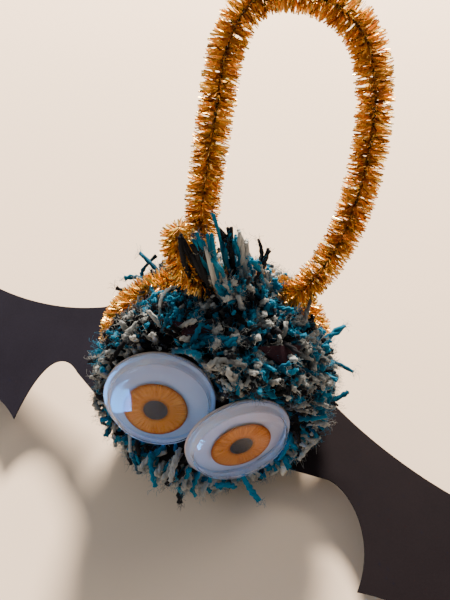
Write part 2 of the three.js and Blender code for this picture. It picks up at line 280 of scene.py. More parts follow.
def solid_object(name, verts, faces, material, smooth_angle=math.radians(40)):
    """An object in millimetres of its own frame; place_on_eye puts it in the object's."""
    mesh = bpy.data.meshes.new(name)
    mesh.from_pydata([tuple(v * MM) for v in np.asarray(verts)], [], faces)
    mesh.materials.append(material)
    mesh.polygons.foreach_set("use_smooth", np.full(len(mesh.polygons), True))
    obj = bpy.data.objects.new(name, mesh)
    bpy.context.scene.collection.objects.link(obj)
    mesh.set_sharp_from_angle(angle=smooth_angle)
    return obj


def finish_piece(obj, body, slot, *nodes):
    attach(obj, body)
    if nodes:
        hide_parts(*nodes)
    return obj


# ---------------------------------------------------------------- materials
class Tree:
    """A material's node tree with short calls for the nodes used here."""

    def __init__(self, name):
        self.material = bpy.data.materials.new(name)
        self.material.use_nodes = True
        self.nodes = self.material.node_tree.nodes
        self.links = self.material.node_tree.links
        self.shader = self.nodes["Principled BSDF"]

    def add(self, kind, inputs=None, **settings):
        node = self.nodes.new("ShaderNode" + kind)
        for key, value in settings.items():
            setattr(node, key, value)
        for key, value in (inputs or {}).items():
            self.put(node.inputs[key], value)
        return node

    def put(self, socket, value):
        if isinstance(value, bpy.types.NodeSocket):
            self.links.new(value, socket)
        else:
            socket.default_value = value

    def set(self, **values):
        for key, value in values.items():
            self.put(self.shader.inputs[key.replace("_", " ")], value)

    def maths(self, operation, *values):
        node = self.add("Math", operation=operation)
        for socket, value in zip(node.inputs, values):
            self.put(socket, value)
        return node.outputs[0]

    def noise(self, scale, detail=3.0, vector=None, roughness=0.5):
        inputs = {"Scale": scale, "Detail": detail, "Roughness": roughness}
        if vector is None:
            vector = self.add("TexCoord").outputs["Object"]
        inputs["Vector"] = vector
        return self.add("TexNoise", inputs).outputs["Fac"]

    def across(self):
        """The object's x and y, and the distance from its z axis."""
        split = self.add("SeparateXYZ", {0: self.add("TexCoord").outputs["Object"]})
        x, y = split.outputs[0], split.outputs[1]
        squares = self.maths("ADD", self.maths("MULTIPLY", x, x), self.maths("MULTIPLY", y, y))
        return x, y, self.maths("SQRT", squares)

    def ramp(self, factor, *stops):
        node = self.add("ValToRGB", {"Fac": factor})
        ramp = node.color_ramp
        while len(ramp.elements) < len(stops):
            ramp.elements.new(0.5)
        for element, (place, colour) in zip(ramp.elements, stops):
            element.position = place
            element.color = (*colour, 1)
        return node.outputs["Color"]

    def bump(self, height, strength, distance):
        node = self.add("Bump", {"Height": height, "Strength": strength, "Distance": distance})
        self.links.new(node.outputs["Normal"], self.shader.inputs["Normal"])


def yarn_with_painted_shade_material(name, root, middle, tip, sheen):
    """Spun acrylic, each strand a little different: the colour darkens towards each strand's foot, painted
    shade down in the pile.
    """
    tree = Tree(name)
    along, tone = (tree.add("Attribute", attribute_name=kind).outputs["Fac"] for kind in ("along", "tone"))
    fibre = tree.noise(1800, 2)
    # along darkens the colour towards each strand's foot: painted shade down in the pile; tone also carries
    # painted light on low front strands.
    painted_shade_and_tone = tree.maths("ADD", tree.maths("MULTIPLY", along, 0.48), tree.maths("MULTIPLY", tone, 0.42))
    painted_shade_and_tone = tree.maths("ADD", painted_shade_and_tone, tree.maths("MULTIPLY", fibre, 0.25))
    tree.set(
        Base_Color=tree.ramp(painted_shade_and_tone, (0.18, root), (0.55, middle), (0.95, tip)),
        Roughness=0.85,
        Sheen_Weight=sheen,
        Sheen_Roughness=0.5,
        Specular_IOR_Level=0.06,
    )
    tree.bump(fibre, 0.5, 0.0002)
    return tree.material


def tinsel_material(name, colour, roughness):
    """Metallised film strip with faint streaks."""
    tree = Tree(name)
    streak = tree.noise(900, 2)
    dull = tuple(0.92 * c for c in colour)
    tree.set(
        Base_Color=tree.ramp(streak, (0.3, dull), (0.7, colour)),
        Metallic=1.0,
        Roughness=roughness,
    )
    return tree.material


def wire_material():
    tree = Tree("core_wire_finish")
    wear = tree.noise(700, 3)
    tree.set(
        Base_Color=tree.ramp(wear, (0.3, (0.05, 0.035, 0.02)), (0.8, (0.14, 0.09, 0.05))),
        Metallic=0.8,
        Roughness=0.5,
    )
    return tree.material


def card_material(name, dark, pale):
    """Dark plum card with a fine fibre."""
    tree = Tree(name)
    mottled = tree.noise(60, 3)
    fibre = tree.noise(2200, 4, roughness=0.7)
    factor = tree.maths("ADD", tree.maths("MULTIPLY", mottled, 0.5), tree.maths("MULTIPLY", fibre, 0.5))
    tree.set(
        Base_Color=tree.ramp(factor, (0.3, dark), (0.7, pale)),
        Roughness=0.85,
        Specular_IOR_Level=0.1,
    )
    tree.bump(fibre, 0.25, 0.0001)
    return tree.material


def plastic_material(name, colour):
    tree = Tree(name)
    cloud = tree.noise(120, 2)
    dull = tuple(0.94 * c for c in colour)
    tree.set(
        Base_Color=tree.ramp(cloud, (0.35, dull), (0.65, colour)),
        Roughness=0.5,
        Specular_IOR_Level=0.0,
    )
    return tree.material


def clear_material():
    """Clear moulded plastic, milkier in its wall; it lets the light through to the disc."""
    tree = Tree("dome_finish")
    _, _, radius = tree.across()
    start, stop = (edge * MM for edge in DOME_WALL)
    wall = tree.add("MapRange", {"Value": radius, 1: start, 2: stop, 3: 0.0, 4: 1.0}).outputs[0]
    tree.set(
        Base_Color=tree.ramp(wall, (0.0, (0.97, 0.98, 1.0)), (1.0, (0.66, 0.68, 0.70))),
        Roughness=tree.maths("ADD", 0.04, tree.maths("MULTIPLY", wall, 0.2)),
        IOR=1.1,
        Coat_Weight=1.0,
        Coat_Roughness=0.05,
        Coat_IOR=1.16,
        Transmission_Weight=tree.maths("SUBTRACT", 1.0, tree.maths("MULTIPLY", wall, 0.4)),
    )
    ray = tree.add("LightPath").outputs["Is Shadow Ray"]
    clear = tree.add("BsdfTransparent", {"Color": (0.93, 0.94, 0.95, 1)})
    mix = tree.add("MixShader", {0: ray})
    tree.links.new(tree.shader.outputs[0], mix.inputs[1])
    tree.links.new(clear.outputs[0], mix.inputs[2])
    tree.links.new(mix.outputs[0], tree.nodes["Material Output"].inputs["Surface"])
    return tree.material


def glue_material():
    tree = Tree("glue_finish")
    cloud = tree.noise(400, 2)
    tree.set(
        Base_Color=tree.ramp(cloud, (0.3, (0.66, 0.64, 0.56)), (0.7, (0.8, 0.78, 0.7))),
        Roughness=0.3,
        Subsurface_Weight=0.2,
    )
    return tree.material


def iris_material():
    """Printed paper disc: dark pupil, orange iris with fine rays and a darker edge."""
    tree = Tree("iris_finish")
    x, y, radius = tree.across()
    radius = tree.maths("DIVIDE", radius, IRIS_RADIUS * MM)
    angle = tree.maths("ARCTAN2", y, x)
    rays_place = tree.add(
        "CombineXYZ", {0: tree.maths("MULTIPLY", angle, 14.0), 1: tree.maths("MULTIPLY", radius, 1.2)}
    )
    rays = tree.noise(1.6, 3, rays_place.outputs[0], 0.65)
    orange = tree.ramp(
        rays, (0.32, (0.33, 0.056, 0.004)), (0.5, (0.49, 0.110, 0.010)), (0.7, (0.66, 0.19, 0.028))
    )
    inner, outer = (0.40, (0.55, 0.5, 0.45)), (0.97, (0.62, 0.50, 0.40))
    shade = tree.ramp(radius, inner, (0.50, (1, 1, 1)), (0.86, (1, 1, 1)), outer)
    iris = tree.add("Mix", data_type="RGBA", blend_type="MULTIPLY")
    tree.put(iris.inputs[0], 1.0)
    tree.put(iris.inputs[6], orange)
    tree.put(iris.inputs[7], shade)
    grain = tree.noise(1500, 2)
    pupil = tree.ramp(grain, (0.3, (0.024, 0.018, 0.014)), (0.7, (0.040, 0.031, 0.025)))
    inside = tree.maths("LESS_THAN", radius, PUPIL_RADIUS / IRIS_RADIUS)
    whole = tree.add("Mix", data_type="RGBA")
    tree.put(whole.inputs[0], inside)
    tree.put(whole.inputs[6], iris.outputs[2])
    tree.put(whole.inputs[7], pupil)
    tree.set(Base_Color=whole.outputs[2], Roughness=0.8, Specular_IOR_Level=0.0)
    return tree.material


# Each dye's first colour, at the strands' feet, is painted shade down in the pile.
YARN = {
    "teal": yarn_with_painted_shade_material(
        "yarn_teal_painted_shade_finish", (0.001, 0.011, 0.020), (0.003, 0.080, 0.155), (0.009, 0.185, 0.32), 0.08),
    "black": yarn_with_painted_shade_material(
        "yarn_black_painted_shade_finish", (0.0010, 0.0010, 0.0013), (0.005, 0.0054, 0.007), (0.016, 0.017, 0.021), 0.03),
    "grey": yarn_with_painted_shade_material(
        "yarn_grey_painted_shade_finish", (0.020, 0.022, 0.022), (0.175, 0.185, 0.182), (0.385, 0.40, 0.385), 0.10),
}
DYES = ("teal", "black", "grey")
TEAL, BLACK, GREY = 0, 1, 2
# The dark bronze strips are painted shade: they stand in for shadowed strips and dark reflections deep in
# the tinsel.
TINSEL = [
    tinsel_material("tinsel_gold_finish", (1.0, 0.68, 0.19), 0.36),
    tinsel_material("tinsel_amber_finish", (0.98, 0.48, 0.09), 0.38),
    tinsel_material("tinsel_bronze_painted_shade_finish", (0.42, 0.18, 0.05), 0.38),
    tinsel_material("tinsel_yellow_finish", (1.0, 0.84, 0.26), 0.22),
]
TINSEL_SHARES = (0.42, 0.26, 0.16, 0.16)
WIRE = wire_material()
# Both wings are one card: the left wing's colour is painted lighter and bluer for the cool light on it, and
# the right wing's darker for the shade under the ball.
CARD = {
    "wing_left": card_material("wing_left_card_painted_light_finish", (0.009, 0.0078, 0.0135), (0.0165, 0.0145, 0.025)),
    "wing_right": card_material("wing_right_card_painted_shade_finish", (0.0052, 0.0034, 0.005), (0.010, 0.0066, 0.0085)),
    "ears": card_material("ear_card_finish", (0.022, 0.009, 0.013), (0.040, 0.017, 0.024)),
}
CLEAR = clear_material()
GLUE = glue_material()
IRIS = iris_material()


# ---------------------------------------------------------------- yarn
BALL_STRANDS = 5200
KNOT_STRANDS = 90
TUFT_STRANDS = 34
CLUMP_STRANDS = 18
KNOT_DYE_SHARES = (0.34, 0.22, 0.44)
DYE_PATCH = (3.6, 9)  # length of the colours' patches
DYE_WAVES = 7
DYE_SCATTER = 0.75
DYE_LIMITS = (0.36, 0.67)  # shares of the strands at which teal turns to black and black to grey
GREY_BELOW = -6  # under this height part of the black strands are grey
GREY_BELOW_SHARE = 0.45
STRAND_STEPS = 7
PLY_SIDES = 6
PLY_RADIUS = 0.46
PLY_OFFSET = 0.34
TWIST_LENGTH = 3.6
HAIR_HALF_WIDTH = 0.017
HAIR_STEPS = 4
HAIR_LENGTH = 2.1
EYE_CLEARANCE = 0.8
LEAN = 0.42
GROOVE_DEPTH = 3.4
GROOVE_WIDTH = 5.5
CORE_DEPTH = 3.6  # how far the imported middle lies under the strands' ends
HIDDEN_DEPTH = 9  # no strands this far behind an eye's plate, where nothing shows


def eye_frame(eye):
    return np.array(eye["centre"], float), level_basis(eye["normal"])


def blocked_by_eyes(points, margin=0.3):
    """True where a point is in an eye or in the hollow that the eye presses in the yarn."""
    blocked = np.zeros(points.shape[:-1], bool)
    for eye in EYES.values():
        centre, basis = eye_frame(eye)
        local = (points - centre) @ basis.T
        across = np.hypot(local[..., 0], local[..., 1])
        upward = local[..., 1] / np.maximum(across, 1e-6)
        flare = 0.2 + eye["hood"] * np.clip(upward, 0, 1)
        reach = EYE_RADIUS + margin + np.maximum(local[..., 2] - 0.8, 0) * flare
        blocked |= (local[..., 2] > -0.9) & (across < reach)
    return blocked


def surface_radius(directions, start=6.0, stop=BALL_RADIUS + 0.9, step=0.3, margin=1.3):
    """How far the yarn reaches along each direction from the ball's centre."""
    reach = np.full(len(directions), stop)
    open_still = np.ones(len(directions), bool)
    for radius in np.arange(start, stop, step):
        hit = blocked_by_eyes(directions * radius, margin) & open_still
        reach[hit] = radius
        open_still &= ~hit
    under = directions[:, 2] < -0.2
    reach[under] = np.minimum(reach[under], (BALL_CENTRE[2] - 0.5) / -directions[under, 2])
    return reach


def stem_groove(points):
    """How far the stem presses the yarn in, near its ring."""
    return GROOVE_DEPTH * np.exp(-(((points[..., 1] - TIE_PLANE_Y) / GROOVE_WIDTH) ** 2))


def ring_distance(points):
    """Distance from the middle of the stem's ring."""
    out = np.hypot(points[..., 0], points[..., 2]) - RING_RADIUS
    return np.hypot(out, points[..., 1] - TIE_PLANE_Y)


def dye_of(points):
    """Which dye each strand shows: the colours run in short patches."""
    value = np.zeros(len(points))
    for _ in range(DYE_WAVES):
        direction = unit(RNG.normal(size=3))
        length = RNG.uniform(*DYE_PATCH)
        value += np.sin(points @ direction * 2 * math.pi / length + RNG.uniform(0, PHASE_RANGE))
    value = value / 3 + RNG.normal(size=len(points)) * DYE_SCATTER
    low, high = np.quantile(value, DYE_LIMITS)
    return np.where(value < low, TEAL, np.where(value < high, BLACK, GREY))


def strand_plies(paths, thickness):
    """Two plies twisted round each strand's path: their paths (2n, k, 3) and radii (2n, k)."""
    tangent = unit(np.gradient(paths, axis=1))
    reference = unit(RNG.normal(size=(len(paths), 1, 3)))
    side = unit(np.cross(tangent, reference))
    up = np.cross(side, tangent)
    gone = np.linalg.norm(np.diff(paths, axis=1), axis=2).cumsum(1)
    gone = np.concatenate([np.zeros((len(paths), 1)), gone], 1)
    turn = gone / TWIST_LENGTH * TURN + RNG.uniform(0, PHASE_RANGE, (len(paths), 1))
    plies, radii = [], []
    fray = np.ones(paths.shape[1])
    fray[-2:] = (0.98, 0.74)
    for half in (0, math.pi):
        spread = PLY_OFFSET * thickness * (1 + 0.08 * (gone / gone[:, -1:]) ** 3)
        sideways, upwards = np.cos(turn + half) * spread, np.sin(turn + half) * spread
        plies.append(paths + (sideways[..., None] * side + upwards[..., None] * up))
        radii.append(PLY_RADIUS * thickness * fray * np.ones(paths.shape[:2]))
    return np.concatenate(plies), np.concatenate(radii)


def curved_paths(feet, tips, bend, steps=STRAND_STEPS):
    t = np.linspace(0, 1, steps)[None, :, None]
    sag = (4 * t * (1 - t)) * bend[:, None, :]
    return feet[:, None] * (1 - t) + tips[:, None] * t + sag


def hairs(tips, directions, count, spread, length):
    """Fine fibres that stand out of the strands' ends."""
    pick = RNG.integers(0, len(tips), count)
    start = tips[pick] + RNG.normal(size=(count, 3)) * spread
    way = unit(directions[pick] + RNG.normal(size=(count, 3)) * 0.8)
    end = start + way * RNG.uniform(0.5, 1, (count, 1)) * length
    bend = RNG.normal(size=(count, 3)) * 0.35
    return curved_paths(start, end, bend, HAIR_STEPS), pick


def ball_strands(count):
    """Feet and tips of the strands that make the ball."""
    i = np.arange(count) + 0.5
    z = 1 - 2 * i / count
    around = i * math.pi * (3 - math.sqrt(5))
    flat = np.sqrt(1 - z * z)
    directions = np.column_stack([flat * np.cos(around), z, flat * np.sin(around)])
    directions = unit(directions + RNG.normal(size=(count, 3)) * 0.03)
    reach = surface_radius(directions)
    jitter = RNG.normal(size=count) * np.where(reach > BALL_RADIUS, 1.1, 0.3)
    tips = directions * (reach + np.clip(jitter, -2, 2.4))[:, None]
    tips -= directions * stem_groove(tips)[:, None]
    way = unit(unit(tips - YARN_ROOT) + RNG.normal(size=(count, 3)) * LEAN)
    feet = tips - way * RNG.uniform(6, 8.5, (count, 1))
    keep = reach > 12
    keep &= ring_distance(tips) > 3.0
    for ear in EARS.values():
        off = tips - unit(ear["middle"]) * BALL_RADIUS
        across = unit(ear["across"])
        sideways = np.abs(off @ across) / (ear["width"] / 2 + 0.3)
        rest = off - (off @ across)[:, None] * across
        lengthways = np.linalg.norm(rest, axis=1) / (ear["height"] / 2 + 0.3)
        over = (sideways < 1) & (lengthways < 1)
        tips[over] = unit(tips[over]) * (BALL_RADIUS - 0.5)
        feet[over] = unit(feet[over]) * (BALL_RADIUS - 8)
    for share in (1.04, 0.85, 0.65, 0.4, 0.2, 0.0):
        keep &= ~blocked_by_eyes(feet + (tips - feet) * share, margin=0.7)
    for eye in EYES.values():
        centre, basis = eye_frame(eye)
        local = (tips - centre) @ basis.T
        behind_plate = (local[:, 2] < 0) & (local[:, 2] > -HIDDEN_DEPTH)
        keep &= ~(behind_plate & (np.hypot(local[:, 0], local[:, 1]) < EYE_RADIUS - 1.5))
    return feet[keep], tips[keep]


# The longest strands between the loop's feet: how many of each dye, and where they stand
LONGEST_COUNTS = {TEAL: 9, BLACK: 6, GREY: 5}
LONGEST_FEET_X = (3, 12)
LONGEST_DEPTH = 5.8
LONGEST_TIP_HEIGHT = (43, 33)  # at the left end and at the right end
LONGEST_LEAN = -1.8  # how far the tips stand to the left of the feet
LONGEST_RNG = np.random.default_rng(12)


def longest_strands():
    """The longest strands stand nearly upright, and get shorter to the right."""
    dyes = LONGEST_RNG.permutation(np.repeat(list(LONGEST_COUNTS), list(LONGEST_COUNTS.values())))
    across = (np.arange(len(dyes)) + 0.5) / len(dyes)
    spread = LONGEST_RNG.normal(size=(len(dyes), 3))
    foot_x = np.interp(across, (0, 1), LONGEST_FEET_X)
    depth = LONGEST_DEPTH + 0.8 * spread[:, 0]
    feet = np.column_stack([foot_x, depth, BALL_RADIUS - 3 * across])
    tip_x = foot_x + LONGEST_LEAN + 1.5 * spread[:, 1]
    height = np.interp(across, (0, 1), LONGEST_TIP_HEIGHT) + 2 * spread[:, 2]
    bows = LONGEST_RNG.normal(size=(len(dyes), 3)) * (0.6, 0, 0.5)
    return feet, np.column_stack([tip_x, depth, height]), bows, dyes


def topknot_strands(count):
    """Shorter strands round the feet of the longest ones; they fan out to the left."""
    share = RNG.uniform(0, 1, count)
    depth = TIE_PLANE_Y - 2.4 + RNG.normal(size=count) * 2.2
    foot_x = 1.0 + 13 * share + RNG.normal(size=count) * 0.9
    rise = np.sqrt(np.maximum(BALL_RADIUS**2 - foot_x**2 - depth**2, 1)) - 4
    feet = np.column_stack([foot_x, depth, rise])
    tip_x = -1.8 + 15 * share + RNG.normal(size=count) * 1.3
    tips = np.column_stack([
        tip_x,
        depth + RNG.normal(size=count) * 1.8,
        rise + RNG.uniform(5, 10.5, count),
    ])
    return feet, tips


def tuft_strands(count):
    """Short strands in front of the stem's ring that hide it between the loop's feet."""
    feet = np.array([4.6, 1.6, 25.2]) + RNG.normal(size=(count, 3)) * (2.6, 0.9, 0.5)
    tips = feet + np.array([-0.9, -0.6, 6.6]) + RNG.normal(size=(count, 3)) * (1.5, 0.9, 1.9)
    return feet, tips


def clump_strands(count):
    """Strands in front of the loop's left foot that cover the near side of the stem's free end."""
    spread = RNG.normal(size=(count, 3)) * (1.0, 0.6, 0.8)
    feet = np.array([0.6, 2.4, 26.0]) + spread
    tips = np.array([-2.4, -0.5, 44.2]) + spread * (1.6, 0.7, 1.6)
    return feet, tips + RNG.normal(size=(count, 3)) * (0.7, 0.5, 1.3)


# Loose strands, one for each strand_ node of the frame: foot, tip and dye
STRAYS = {
    "teal_left_upper": ((-11, 18, 11.5), (-18.8, 24.3, 16.5), TEAL),
    "teal_left_lower": ((-13, 17, 10.5), (-22.6, 19.4, 12.6), TEAL),
    "black_left": ((-16, 14.5, 9.5), (-24.6, 17.2, 11.6), BLACK),
    "teal_right_upper": ((22.5, 1.5, 5), (31, 6.5, 10), TEAL),
    "teal_right_lower": ((24, 3.4, 2), (33.8, 0.3, -0.4), TEAL),
    "black_bottom": ((-7.2, -18.5, -13), (-8.4, -26, -17.2), BLACK),
    "teal_bottom": ((6.0, -19.5, -13.2), (10.5, -25.6, -16.6), TEAL),
}


def add_yarn(name, feet, tips, dyes, hairs_each, bows=None, body="body", full=1.0, paler=0.0):
    """One piece of strands and one of fuzz for each dye; returns the strands' pieces."""
    bend = RNG.normal(size=feet.shape) * 0.7
    if bows is not None:
        bend = bend * 0.3 + bows
    paths = curved_paths(feet, tips, bend)
    clear = ~blocked_by_eyes(paths, EYE_CLEARANCE).any(axis=1)
    clear |= len(feet) == 1
    feet, tips, dyes, paths = feet[clear], tips[clear], dyes[clear], paths[clear]
    thickness = RNG.uniform(0.78, 1.08, (len(feet), 1)) * full
    plies, radii = strand_plies(paths, thickness)
    # Strands low on the front get a higher tone, so a lighter colour: painted light, for the cool light low
    # in front.
    under = np.clip((-4 - tips[:, 2]) / 10, 0, 1) * (tips[:, 1] < TIE_PLANE_Y)
    tone = RNG.uniform(0, 1, len(feet)) + 1.3 * under + paler
    hair_paths, owner = hairs(tips, unit(tips - paths[:, -2]), hairs_each * len(feet), 0.4, HAIR_LENGTH)
    made = []
    for index, dye in enumerate(DYES):
        chosen = np.flatnonzero(np.tile(dyes == index, 2))
        if not len(chosen):
            continue
        verts, faces = sweep(plies[chosen], round_section(radii[chosen], PLY_SIDES))
        along = np.broadcast_to(np.linspace(0, 1, STRAND_STEPS)[None, :, None], verts.shape[:3])
        tones = np.broadcast_to(np.tile(tone, 2)[chosen][:, None, None], verts.shape[:3])
        obj = make_object(f"{name}_{dye}", on_floor(verts.reshape(-1, 3)), faces, [YARN[dye]])
        point_attribute(obj, "along", along)
        point_attribute(obj, "tone", tones)
        made.append(finish_piece(obj, body, "yarn_mix"))
        hair = np.flatnonzero(dyes[owner] == index)
        thin = np.full((len(hair), HAIR_STEPS), HAIR_HALF_WIDTH)
        verts, faces = sweep(hair_paths[hair], flat_section(thin, thin))
        fuzz = make_object(f"{name}_{dye}_fuzz", on_floor(verts.reshape(-1, 3)), faces, [YARN[dye]])
        point_attribute(fuzz, "along", np.ones(verts.size // 3))
        point_attribute(fuzz, "tone", np.full(verts.size // 3, 0.6))
        finish_piece(fuzz, body, "yarn_mix")
    return made


def yarn_core_painted_shade():
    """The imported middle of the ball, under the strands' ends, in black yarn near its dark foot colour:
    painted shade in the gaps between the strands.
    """
    bpy.ops.mesh.primitive_ico_sphere_add(subdivisions=6, radius=1)
    obj = bpy.context.object
    obj.name = "yarn_core_painted_shade"
    mesh = obj.data
    directions = np.array([v.co for v in mesh.vertices])
    reach = surface_radius(unit(directions), start=4.0)
    lumps = np.zeros(len(directions))
    for _ in range(24):
        along = directions @ unit(RNG.normal(size=3))
        lumps += np.sin(along * RNG.uniform(25, 60) + RNG.uniform(0, PHASE_RANGE))
    radius = np.minimum(reach, BALL_RADIUS) - CORE_DEPTH + 0.16 * lumps
    radius -= stem_groove(directions * BALL_RADIUS)
    points = on_floor(directions * radius[:, None])
    mesh.vertices.foreach_set("co", ((points + BALL_CENTRE) * MM).astype(np.float32).ravel())
    mesh.polygons.foreach_set("use_smooth", np.full(len(mesh.polygons), True))
    # Black yarn near its dark foot colour all over the middle: painted shade between the strands.
    point_attribute(obj, "along", np.full(len(directions), 0.25))
    point_attribute(obj, "tone", 0.5 + 0.5 * np.sin(lumps))
    mesh.materials.append(YARN["black"])
    return finish_piece(obj, "body", "yarn_mix", "yarn_front_half", "yarn_back_half")


def add_ball():
    feet, tips = ball_strands(BALL_STRANDS)
    dyes = dye_of(tips)
    paler = (dyes == BLACK) & (tips[:, 2] < GREY_BELOW) & (RNG.uniform(size=len(tips)) < GREY_BELOW_SHARE)
    dyes[paler] = GREY
    behind = tips[:, 1] > TIE_PLANE_Y
    for half, chosen in (("front", ~behind), ("back", behind)):
        add_yarn(f"yarn_pile_{half}", feet[chosen], tips[chosen], dyes[chosen], 6)


def add_topknot():
    short = (topknot_strands(KNOT_STRANDS), tuft_strands(TUFT_STRANDS))
    clump = clump_strands(CLUMP_STRANDS)
    clump_dyes = np.where(clump[1][:, 0] < np.quantile(clump[1][:, 0], 0.3), BLACK, TEAL)
    clump_dyes[::6] = GREY
    long_feet, long_tips, long_bows, long_dyes = longest_strands()
    short_dyes = RNG.choice(3, KNOT_STRANDS + TUFT_STRANDS, p=KNOT_DYE_SHARES)
    short_bows = RNG.normal(size=(KNOT_STRANDS + TUFT_STRANDS + CLUMP_STRANDS, 3)) * 0.6
    pieces = add_yarn(
        "yarn_topknot_strands",
        np.vstack([*(feet for feet, _ in (*short, clump)), long_feet]),
        np.vstack([*(tips for _, tips in (*short, clump)), long_tips]),
        np.r_[short_dyes, clump_dyes, long_dyes],
        7,
        paler=0.6,
        bows=np.vstack([short_bows, long_bows]),
    )
    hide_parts("yarn_topknot")


def add_strays():
    for stray, (foot, tip, dye) in STRAYS.items():
        ends = (np.array([end], float) for end in (foot, tip))
        pieces = add_yarn(f"loose_strand_{stray}", *ends, np.array([dye]), 16, full=1.3)
        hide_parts(f"strand_{stray}")


yarn_core_painted_shade()
add_ball()
add_topknot()
add_strays()


# ---------------------------------------------------------------- chenille stem
STEM_TWIST = 3.5  # stem length for one whole turn of its two wires
END_TAPER = 5.0  # length over which the tinsel gets shorter at a cut end
STRIPS_PER_MM = 44
STRIP_HALF_THICKNESS = 0.022
CORE_STRAND_RADIUS = 0.24
RING_STEPS = 241


def stem(name, path, body, replaced_tinsel, replaced_wire, fringe=(3.3, 4.2), open_end=False):
    """The two twisted core wires and the tinsel strips held between them."""
    tangent, side, up = path_frames(path)
    length = np.linalg.norm(np.diff(path, axis=0), axis=1).sum()
    place = np.linspace(0, 1, len(path))

    def at(values, t):
        return np.column_stack([np.interp(t, place, values[:, k]) for k in range(3)])

    count = int(length * STRIPS_PER_MM)
    t = (np.arange(count) + RNG.uniform(0, 1, count)) / count
    angle = t * length / STEM_TWIST * 2 * math.pi + RNG.integers(0, 2, count) * math.pi
    angle += RNG.normal(size=count) * 0.62
    s, u, w = at(side, t), at(up, t), unit(at(tangent, t))
    out = np.cos(angle)[:, None] * s + np.sin(angle)[:, None] * u
    swirl = np.cross(w, out)
    reach = RNG.uniform(*fringe, count)
    if open_end:
        reach *= np.clip((1 - t) * length / END_TAPER + 0.45, 0, 1)
    lean = RNG.normal(size=(count, 1)) * 0.65
    curl = RNG.normal(size=(count, 1)) * 0.75
    middle = at(path, t)
    base = middle + out * 0.15
    tip = middle + out * reach[:, None] + w * lean + swirl * curl
    tip_distance = np.linalg.norm(tip - middle, axis=1, keepdims=True)
    tip = middle + (tip - middle) * np.minimum(1, fringe[1] / tip_distance)
    paths = curved_paths(base, tip, (w * lean + swirl * curl) * -0.16, 3)
    width = RNG.uniform(0.13, 0.23, (count, 1)) * np.array([[0.8, 1.0, 0.75]])
    verts, faces = sweep(paths, flat_section(width, np.full((count, 3), STRIP_HALF_THICKNESS)))
    obj = make_object(f"{name}_tinsel_strips", on_floor(verts.reshape(-1, 3)), faces, TINSEL, smooth=False)
    kinds = RNG.choice(len(TINSEL), count, p=TINSEL_SHARES)
    obj.data.polygons.foreach_set("material_index", np.repeat(kinds, len(faces) // count).astype(np.int32))
    finish_piece(obj, body, "tinsel", *replaced_tinsel)

    steps = int(length / 0.35)
    t = np.linspace(0, 1, steps)
    turn = t * length / STEM_TWIST * 2 * math.pi
    s, u, middle = at(side, t), at(up, t), at(path, t)
    wires = [
        middle + CORE_STRAND_RADIUS * (np.cos(turn + half)[:, None] * s + np.sin(turn + half)[:, None] * u)
        for half in (0, math.pi)
    ]
    section = round_section(np.full((2, steps), CORE_STRAND_RADIUS), 6)
    verts, faces = sweep(np.array(wires), section, np.array([[[0.3, 0.2, 0.9]]] * 2))
    wire = make_object(f"{name}_core_wires", on_floor(verts.reshape(-1, 3)), faces, [WIRE])
    finish_piece(wire, body, "core_wire", *replaced_wire)


ring_angle = np.linspace(0, 2 * math.pi, RING_STEPS)
ring_path = np.column_stack([
    RING_RADIUS * np.sin(ring_angle), np.full(RING_STEPS, TIE_PLANE_Y), RING_RADIUS * np.cos(ring_angle),
])
stem("ring", ring_path, "body", ["tie_ring_tinsel"], ["tie_ring_wire"])

loop_up = unit(LOOP_UP)
loop_across = unit(np.array([1.0, 0, 0]) - loop_up * loop_up[0])
loop_points = [LOOP_FOOT_MIDDLE + a * loop_across + b * loop_up for a, b in LOOP_POINTS]
loop_path = smooth_path([LOOP_FEET[0], *loop_points, LOOP_FEET[1]], 300)
stem("hanger", loop_path, "hanger", ["hanger_tinsel"], ["hanger_wire"], fringe=(3.2, 4.1))
tail_path = smooth_path(TAIL_POINTS, 60)
stem("tail", tail_path, "body", ["stem_tail_tinsel"], ["stem_tail_wire"], fringe=(2.9, 3.9), open_end=True)


# ---------------------------------------------------------------- eyes
def arc(centre, radius, start, end, steps):
    angle = np.radians(np.linspace(start, end, steps))
    return [(centre[0] + radius * math.cos(a), centre[1] + radius * math.sin(a)) for a in angle]


def place_on_eye(obj, eye, offset=(0, 0)):
    centre, basis = eye_frame(eye)
    rotation = Matrix([[basis[j][i] for j in range(3)] for i in range(3)]).to_4x4()
    place = (centre + BALL_CENTRE + offset[0] * basis[0] + offset[1] * basis[1]) * MM
    obj.matrix_world = Matrix.Translation(Vector(place)) @ rotation
    return obj


def back_plate_profile():
    edge = arc((EYE_RADIUS - 0.25, -0.25), 0.25, -90, 90, 7)
    return [(0, -0.5), (6, -0.5), *edge, (11.6, 0.02), (11.2, -0.06), (6, -0.06), (0, -0.06)]


DOME_HEIGHT = 4.3
DOME_CROWN = 0.0075  # how fast the dome's top falls away from its middle
DOME_THICKNESS = 0.4
CROWN = [(r, DOME_HEIGHT - DOME_CROWN * r * r) for r in (9.0, 8.0, 6.5, 5.0, 3.5, 2.0, 1.0)]


def dome_profile():
    """Closed thin shell: flange, wall, rounded shoulder and slightly crowned top."""
    outer = [(12.44, 0.36), *arc((12.28, 0.58), 0.22, -45, 90, 6)]
    outer += arc((11.75, 1.05), 0.25, 270, 190, 4)
    outer += [(11.38, 1.8), *arc((9.3, 1.75), 2.1, 10, 70, 12), *CROWN]
    inner = [(r, h - DOME_THICKNESS) for r, h in reversed(CROWN)]
    inner += [*arc((9.3, 1.75), 1.7, 62, 10, 10)]
    inner += [(10.95, 1.4), (10.98, 0.36)]
    return outer, inner


